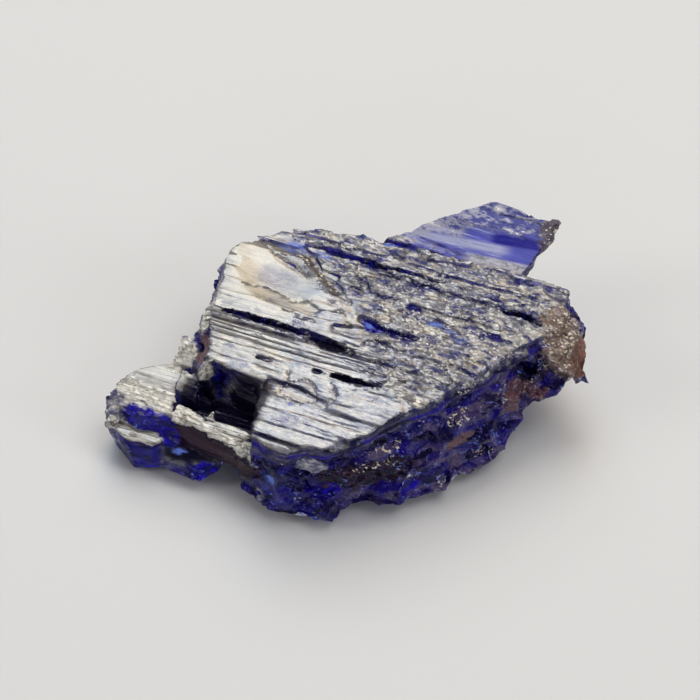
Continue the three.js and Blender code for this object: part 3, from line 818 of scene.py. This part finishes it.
def blade_colour(place, across, along):
    """Blue streaks along X, a deep band, a hoary base, and darker grey crumbs along the back with
    cream crumbs painted on as glints.
    """
    level = across - along * 0.085  # measured square to the streaks
    streak = noise(stretched(place, *BLADE_STREAKS), 1.0, 4.0, 0.65)
    crumbs = noise(stretched(place, *BLADE_CRUMBS), 1.0, 4.0, 0.7)
    pale = rise(streak, -0.05, 0.45).at_least(band(level, 6.55, 7.05, 0.12) * 0.8)
    pale = pale * rise(along, 6.0, 5.0)
    colour = tint(BLADE_BLUE, PALE_BLUE, pale)
    deep = band(level, 7.1, 7.6, 0.08) * rise(along, 4.2, 4.8)
    line = band(across + along * 0.14, 6.66, 6.84, 0.06) * rise(along, 4.8, 4.0)
    colour = tint(colour, DEEP_BLUE, largest(deep, line, rise(streak, -0.2, -0.45)))
    left = rise(along + crumbs, 3.4, 2.6)
    back = rise(level + crumbs * 0.6, 7.55, 7.85).at_least(left * rise(level, 6.95, 7.15))
    colour = tint(colour, tint(DUSK, ASH, rise(crumbs + left * 0.2, -0.05, 0.22)), back * 0.9)
    colour = tint(colour, HOAR, band(level, 5.5, 6.2, 0.1) * rise(along, 3.2, 4.0))
    rim = rise(across * 0.82 - along * 0.57 + crumbs * 0.8, 5.0, 5.3)
    rim = rim.at_least(rise(across + crumbs * 0.8, 9.0, 9.3))
    colour = tint(colour, HOAR, rim * rise(crumbs, -0.1, 0.15) * 0.85)
    # Cream crumbs along the back: painted glints.
    return tint(colour, CREAM, rise(crumbs, 0.24, 0.34) * back)


class Surface:
    """The marks on the stone and the patterns on them that its material is mixed from."""

    def __init__(self, tree):
        here = add_node(tree, "ShaderNodeTexCoord", None, None, "Object")
        place = vector_maths("MULTIPLY", here, (1 / MM,) * 3)
        mark = {
            name: add_node(tree, "ShaderNodeAttribute", {"attribute_name": name}, None, "Fac")
            for name in MARKS
        }
        fray = noise(place, 0.22, 2.0) * FRAY
        near = {kind: rise(mark[kind] + fray, *NEAR_BORDER) for kind in ["sparks", *FINISHES]}
        near["gash"] = rise(mark["gash"] + fray * 3, *GASH_BORDER)
        self.tree, self.place, self.mark, self.near = tree, place, mark, near
        self.x, self.y, self.z = parts(place)
        self.glow = rise(mark["pale_blue"] + fray, *GLOW_BORDER)
        self.hackly = mark["hackly"] * mark["face"]
        self.on_blade = mark["blade"] * mark["flat"]
        self.outside = largest(
            mark["side"],
            mark["blade"] - self.on_blade,
            mark["foot"] * (1 - mark["flat"]),
        ) * (1 - mark["recess"])
        self.sunk = mark["face"] * (1 - mark["skin"])
        self.brown = largest(near["tawny"], near["salmon"], near["plum"])

        self.stripe_lot = cell_lots(stretched(place, *STRIPES))
        self.flake, self.flake_lot = broken_plates(stretched(place, *FLAKES))
        self.facet, self.facet_lot = broken_plates(flowing(place, *FACETS))
        self.crumb_lot = cell_lots(stretched(place, *CRUMBS))
        self.grit = noise(place, 0.12, 2.0, 0.6)
        self.crinkle = noise(stretched(place, *CRINKLES), 1.0, 3.0, 0.65)
        self.patch = noise(place, 1.4, 3.0, 0.55)
        self.powder = noise(place, 0.7, 4.0, 0.65)

    def normal(self):
        """Fine relief, too small for the mesh."""
        mark, near = self.mark, self.near
        lines = largest(mark["face"], mark["blade"], mark["foot"], mark["recess"] * 0.4)
        lines = lines * (1 - mark["dish"] * 0.8) * (1 - self.hackly * 0.6)
        flaky = largest(near["grainy"], near["sparks"], near["tawny"], near["misty"])
        flaky = flaky.at_least(self.hackly * 0.6)
        height = self.stripe_lot[0] * STRIPE_DEPTH * lines + self.grit * GRIT_DEPTH
        crinkled = self.crinkle * CRINKLE_DEPTH * mark["face"] * (1 - mark["dish"] * 0.8)
        height = height + crinkled
        height = height + self.flake * FLAKE_TILT * flaky + self.facet * FACET_TILT * self.outside
        inputs = {"Strength": BUMP_STRENGTH, "Distance": MM, "Height": height}
        return add_node(self.tree, "ShaderNodeBump", None, inputs, "Normal")

    def painted_shade_lines(self):
        """Painted shade: dark seams between the striations, scratches and cracks, and shaded gaps
        between grains.
        """
        mark, near, face, hackly = self.mark, self.near, self.mark["face"], self.hackly
        crinkle, powder = self.crinkle, self.powder
        drawn = ruling(self.place)
        seam = drawn * mark["ruled"].at_least(mark["foot"] * 0.6) * 0.9
        scratch = seams(self.place, SCRATCHES, 0.14) * rise(powder, -0.3, 0.3) * 0.6
        seam = seam.at_least(scratch)
        seam = seam * face.at_least(mark["foot"]) * (1 - hackly * 0.7) * (1 - mark["dish"])
        crackle = seams(self.place, CRACKLE, 0.035) * rise(crinkle, -0.15, 0.1)
        crackle = crackle.at_least(rise(crinkle, -0.14, -0.34) * 0.8)
        crackle = crackle * face * (1 - mark["dish"]) * (1 - hackly * 0.5) * 0.75
        seam = seam.at_least(crackle)
        # Painted shade on the side of each grain that tilts away.
        gap = rise(self.flake, -0.08, -0.20) * near["grainy"].at_least(hackly)
        gap = gap * rise(powder, -0.2, 0.4)
        streaked = near["silver"] * drawn.at_least(rise(crinkle, 0.0, -0.2))
        return largest(seam * (1 - self.sunk * 0.7), gap * 0.8, streaked * 0.85)

    def painted_glints(self):
        """Painted glints: bright crumbs of colour, thick at the sparks and rare on the other broken
        sides.
        """
        near = self.near
        sparkling = near["sparks"] * rise(self.patch + self.mark["side"], -0.4, 0.1)
        sparkling = largest(sparkling, near["tawny"], near["sooty"]) * (1 - near["salmon"])
        painted_glint = rise(self.crumb_lot[2] + self.powder * 0.7, 0.84, 0.92) * sparkling
        rare = rise(self.crumb_lot[2], 0.94, 0.96) * self.outside * rise(self.patch, 0.1, 0.4)
        return painted_glint.at_least(rare)

    def skin_colour(self):
        # Warm and cool grey, partly a painted sheen: warmer to the left, by plate on the hackly
        # face, some stripes near-black.
        plate_lot = cell_lots(stretched(self.place, *SHINGLES))
        warm = rise(self.patch - self.x * 0.1, -0.1, 0.6)
        warm = blend(warm, rise(plate_lot[1], 0.2, 0.8), self.hackly)
        colour = tint(COOL_SKIN, WARM_SKIN, warm)
        return tint(colour, NEAR_BLACK, rise(self.stripe_lot[1], 0.5, 1.0) * 0.6)

    def broad_layers(self):
        """The crushed surface's colour, how far the stone is crushed, and how far it is silvery."""
        mark, outside, hackly = self.mark, self.outside, self.hackly
        patch, powder, facet_lot = self.patch, self.powder, self.facet_lot
        blues = rise(noise(stretched(self.place, *BLUE_PLATES), 1.0, 3.0), 0.02, 0.25)
        tops = band(self.z, 2.25, 2.95, 0.1).at_least(rise(self.z, 3.5, 3.8))
        # The foot's level tops, tinted pale cream below as a painted sheen and given silvery skin.
        foot_top = mark["foot"] * tops * mark["flat"]
        skin = mark["skin"] * rise(patch, -0.75, -0.15) * (1 - blues * hackly * 0.7)
        skin = (skin.at_least(mark["dish"] * 0.75) * mark["flat"]).at_least(foot_top)
        skin = skin.at_least(self.on_blade * rise(patch, 0.0, 0.3) * 0.5)

        frosted = mark["right_front"] * outside * rise(patch + facet_lot[1] * 0.7, 0.2, 0.8)
        haze = rise(facet_lot[1] + powder * 0.3, 0.80, 1.0) * outside
        shard = rise(facet_lot[0] + (powder + patch) * 0.3, 0.25, 0.80)
        crushed = (hackly * rise(powder, -0.4, 0.5).at_least(blues) * HACKLY_CRUSHED).at_least(
            mark["face"] * rise(powder, -0.2, 0.5) * FACE_CRUSHED
        )
        # The recess is crushed almost wholly, so its painted shade covers it.
        crushed = largest(
            crushed * (1 - mark["dish"]),
            outside * blend(*SIDE_CRUSHED, haze.at_least(frosted)),
            self.on_blade * BLADE_CRUSHED,
            mark["recess"] * RECESS_CRUSHED,
            self.sunk * SUNK_CRUSHED,
            foot_top * FOOT_TOP_CRUSHED,
        )

        colour = tint(tint(ASH, CREAM, rise(self.flake_lot[2], 0.5, 0.95)), DUSK, blues)
        shards = tint(tint(VIOLET, ULTRAMARINE, shard), HAZE_BLUE, haze)
        colour = tint(colour, tint(shards, LAVENDER, frosted), outside.at_least(self.sunk))
        # Painted sheen: the foot's level tops are tinted pale cream. Painted shade: the recess is
        # painted black-blue.
        colour = tint(tint(colour, CREAM, foot_top * 0.8), BLACK_BLUE, mark["recess"])
        colour = tint(colour, blade_colour(self.place, self.y, self.x), self.on_blade)
        return colour, crushed, skin

    def layers(self):
        """The same three, with the spots, the painted glow, the painted shade lines and the painted
        glints.
        """
        near, crinkle, powder = self.near, self.crinkle, self.powder
        colour, crushed, skin = self.broad_layers()
        for kind, (kind_colour, kind_crushed, kind_skin) in FINISHES.items():
            colour = tint(colour, kind_colour, near[kind])
            crushed = blend(crushed, kind_crushed, near[kind])
            skin = blend(skin, kind_skin, near[kind])
        # Darker navy breaks up the painted glow where it is unlit.
        unlit = rise(powder + crinkle + self.facet_lot[0], 0.9, 0.2)
        colour = tint(colour, NAVY, near["lit"] * unlit)
        colour = tint(colour, RUSSET, near["bark"] * rise(self.stripe_lot[1], 0.5, 0.8))
        colour = tint(colour, CREAM, near["misty"] * rise(crinkle, 0.0, 0.2) * 0.8)
        colour = tint(colour, NAVY, near["misty"] * rise(crinkle, -0.05, -0.2) * 0.8)
        # The salmon face turns gold-brown towards the front, like the rest of it partly own tone,
        # partly painted reflection.
        colour = tint(colour, GOLD_BROWN, near["salmon"] * rise(self.y + powder, 3.6, 2.4))
        # Painted glow: glow blue painted at the pale blue glow spots.
        colour = tint(colour, GLOW_BLUE, self.glow * rise(crinkle, -0.3, 0.1))

        # Painted glints: rare blue gleams painted on the broken sides.
        gleam = rise(self.crumb_lot[1] + powder * 0.7, 1.0, 1.06)
        gleam = gleam * self.outside * (1 - self.brown)
        painted_glint, painted_shade = self.painted_glints(), self.painted_shade_lines()
        # Painted glints: gold crumbs, and cream ones on the hackly face.
        painted_glint_colour = tint(GOLD, CREAM, self.hackly * (1 - self.brown))
        colour = tint(tint(colour, GLOW_BLUE, gleam), painted_glint_colour, painted_glint)
        # Painted shade: near-black along the shade lines, black-blue in the gashes.
        colour = tint(tint(colour, NEAR_BLACK, painted_shade), BLACK_BLUE, near["gash"])
        crushed = largest(
            crushed,
            self.glow * GLOW_CRUSHED,
            painted_shade * SHADE_LINE_CRUSHED,
            painted_glint.at_least(gleam) * GLINT_CRUSHED,
            near["gash"] * GASH_CRUSHED,
        )
        return colour, crushed, (skin * (1 - self.glow)).at_least(painted_glint)


def crystal():
    material = bpy.data.materials.new("violet_blue_crystal")
    material.use_nodes = True
    tree = material.node_tree
    tree.nodes.clear()
    surface = Surface(tree)
    normal = surface.normal()
    colour, crushed_share, skin_share = surface.layers()
    near, grit = surface.near, surface.grit
    glossy = largest(surface.mark["side"], near["umber"], near["tawny"], near["lit"])
    skin_roughness = SKIN_ROUGHNESS + (grit + surface.powder) * 0.06

    clear = {
        "Base Color": CLEAR_COLOUR,
        "Roughness": CLEAR_ROUGHNESS + grit * 0.04,
        "IOR": REFRACTION,
        "Specular Tint": CLEAR_SHEEN,
        "Transmission Weight": 1.0,
        "Normal": normal,
    }
    silvery = {
        "Base Color": surface.skin_colour(),
        "Roughness": skin_roughness + surface.mark["dish"] * 0.10,
        "IOR": SKIN_REFRACTION,
        "Normal": normal,
    }
    crushed = {
        "Base Color": colour,
        "Roughness": blend(CRUSHED_ROUGHNESS, GLOSSY_ROUGHNESS, glossy),
        "IOR": REFRACTION,
        "Specular IOR Level": CRUSHED_SPECULAR,
        "Normal": normal,
    }
    clear, silvery, crushed = (
        add_node(tree, "ShaderNodeBsdfPrincipled", None, inputs)
        for inputs in (clear, silvery, crushed)
    )
    mixed = add_node(tree, "ShaderNodeMixShader", None, {0: skin_share, 1: clear, 2: silvery})
    mixed = add_node(tree, "ShaderNodeMixShader", None, {0: crushed_share, 1: mixed, 2: crushed})
    absorption = {"Color": ABSORB_COLOUR, "Density": ABSORB_DENSITY}
    inside = add_node(tree, "ShaderNodeVolumeAbsorption", None, absorption)
    add_node(tree, "ShaderNodeOutputMaterial", None, {"Surface": mixed, "Volume": inside})
    return material


# ---- The table and the light --------------------------------------------------------------------

TABLE_SIZE = 3.0  # metres
TABLE_COLOUR = (0.66, 0.66, 0.67, 1.0)
TABLE_ROUGHNESS = 0.7
ROOM_COLOUR = (0.86, 0.9, 1.0, 1.0)
ROOM_BRIGHTNESS = 0.15

# Soft square lights: azimuth and height in degrees, width and length in metres, brightness, colour.
LIGHT_DISTANCE = 0.45  # metres
LIGHTS = {
    "back_warm": (188, 56, (0.20, 0.44), 3.1, (1.0, 0.83, 0.58)),
    "back_cool": (216, 56, (0.20, 0.44), 3.1, (0.78, 0.90, 1.0)),
    "front_left": (-60, 35, (0.16, 0.16), 4.5, (1.0, 0.97, 0.93)),
    "front_right": (85, 30, (0.12, 0.18), 4.0, (0.95, 0.97, 1.0)),
    "above": (100, 68, (0.22, 0.22), 3.4, (1.0, 0.98, 0.95)),
    "low_front": (12, 20, (0.30, 0.03), 4.0, (0.95, 0.97, 1.0)),
    "low_right": (50, 38, (0.04, 0.04), 12.0, (1.0, 0.95, 0.88)),
}


def pale_table():
    bpy.ops.mesh.primitive_plane_add(size=TABLE_SIZE)
    table = bpy.context.object
    table.name = "table"
    material = bpy.data.materials.new("pale_table")
    material.use_nodes = True
    shader = material.node_tree.nodes["Principled BSDF"]
    shader.inputs["Base Color"].default_value = TABLE_COLOUR
    shader.inputs["Roughness"].default_value = TABLE_ROUGHNESS
    table.data.materials.append(material)


def softbox(name, azimuth, height, size, brightness, colour):
    """A soft square light, turned to the stone."""
    towards = direction(math.radians(azimuth), math.radians(height))
    bpy.ops.object.light_add(type="AREA", location=towards * LIGHT_DISTANCE + VIEW_AIM)
    light = bpy.context.object
    light.name = name
    light.rotation_mode = "QUATERNION"
    light.rotation_quaternion = towards.to_track_quat("Z", "Y")
    light.data.shape = "RECTANGLE"
    light.data.size, light.data.size_y = size
    light.data.energy = brightness * math.pi * size[0] * size[1]
    light.data.color = colour


def light_up():
    for name, settings in LIGHTS.items():
        softbox(name, *settings)
    world = bpy.data.worlds.new("soft_room")
    bpy.context.scene.world = world
    world.use_nodes = True
    background = world.node_tree.nodes["Background"]
    background.inputs["Color"].default_value = ROOM_COLOUR
    background.inputs["Strength"].default_value = ROOM_BRIGHTNESS
    bpy.context.scene.view_settings.view_transform = "Standard"


put_camera()
pale_table()
light_up()
stone = make_stone()
stone.data.materials.append(crystal())
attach(stone, "root")
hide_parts("rough_tanzanite")
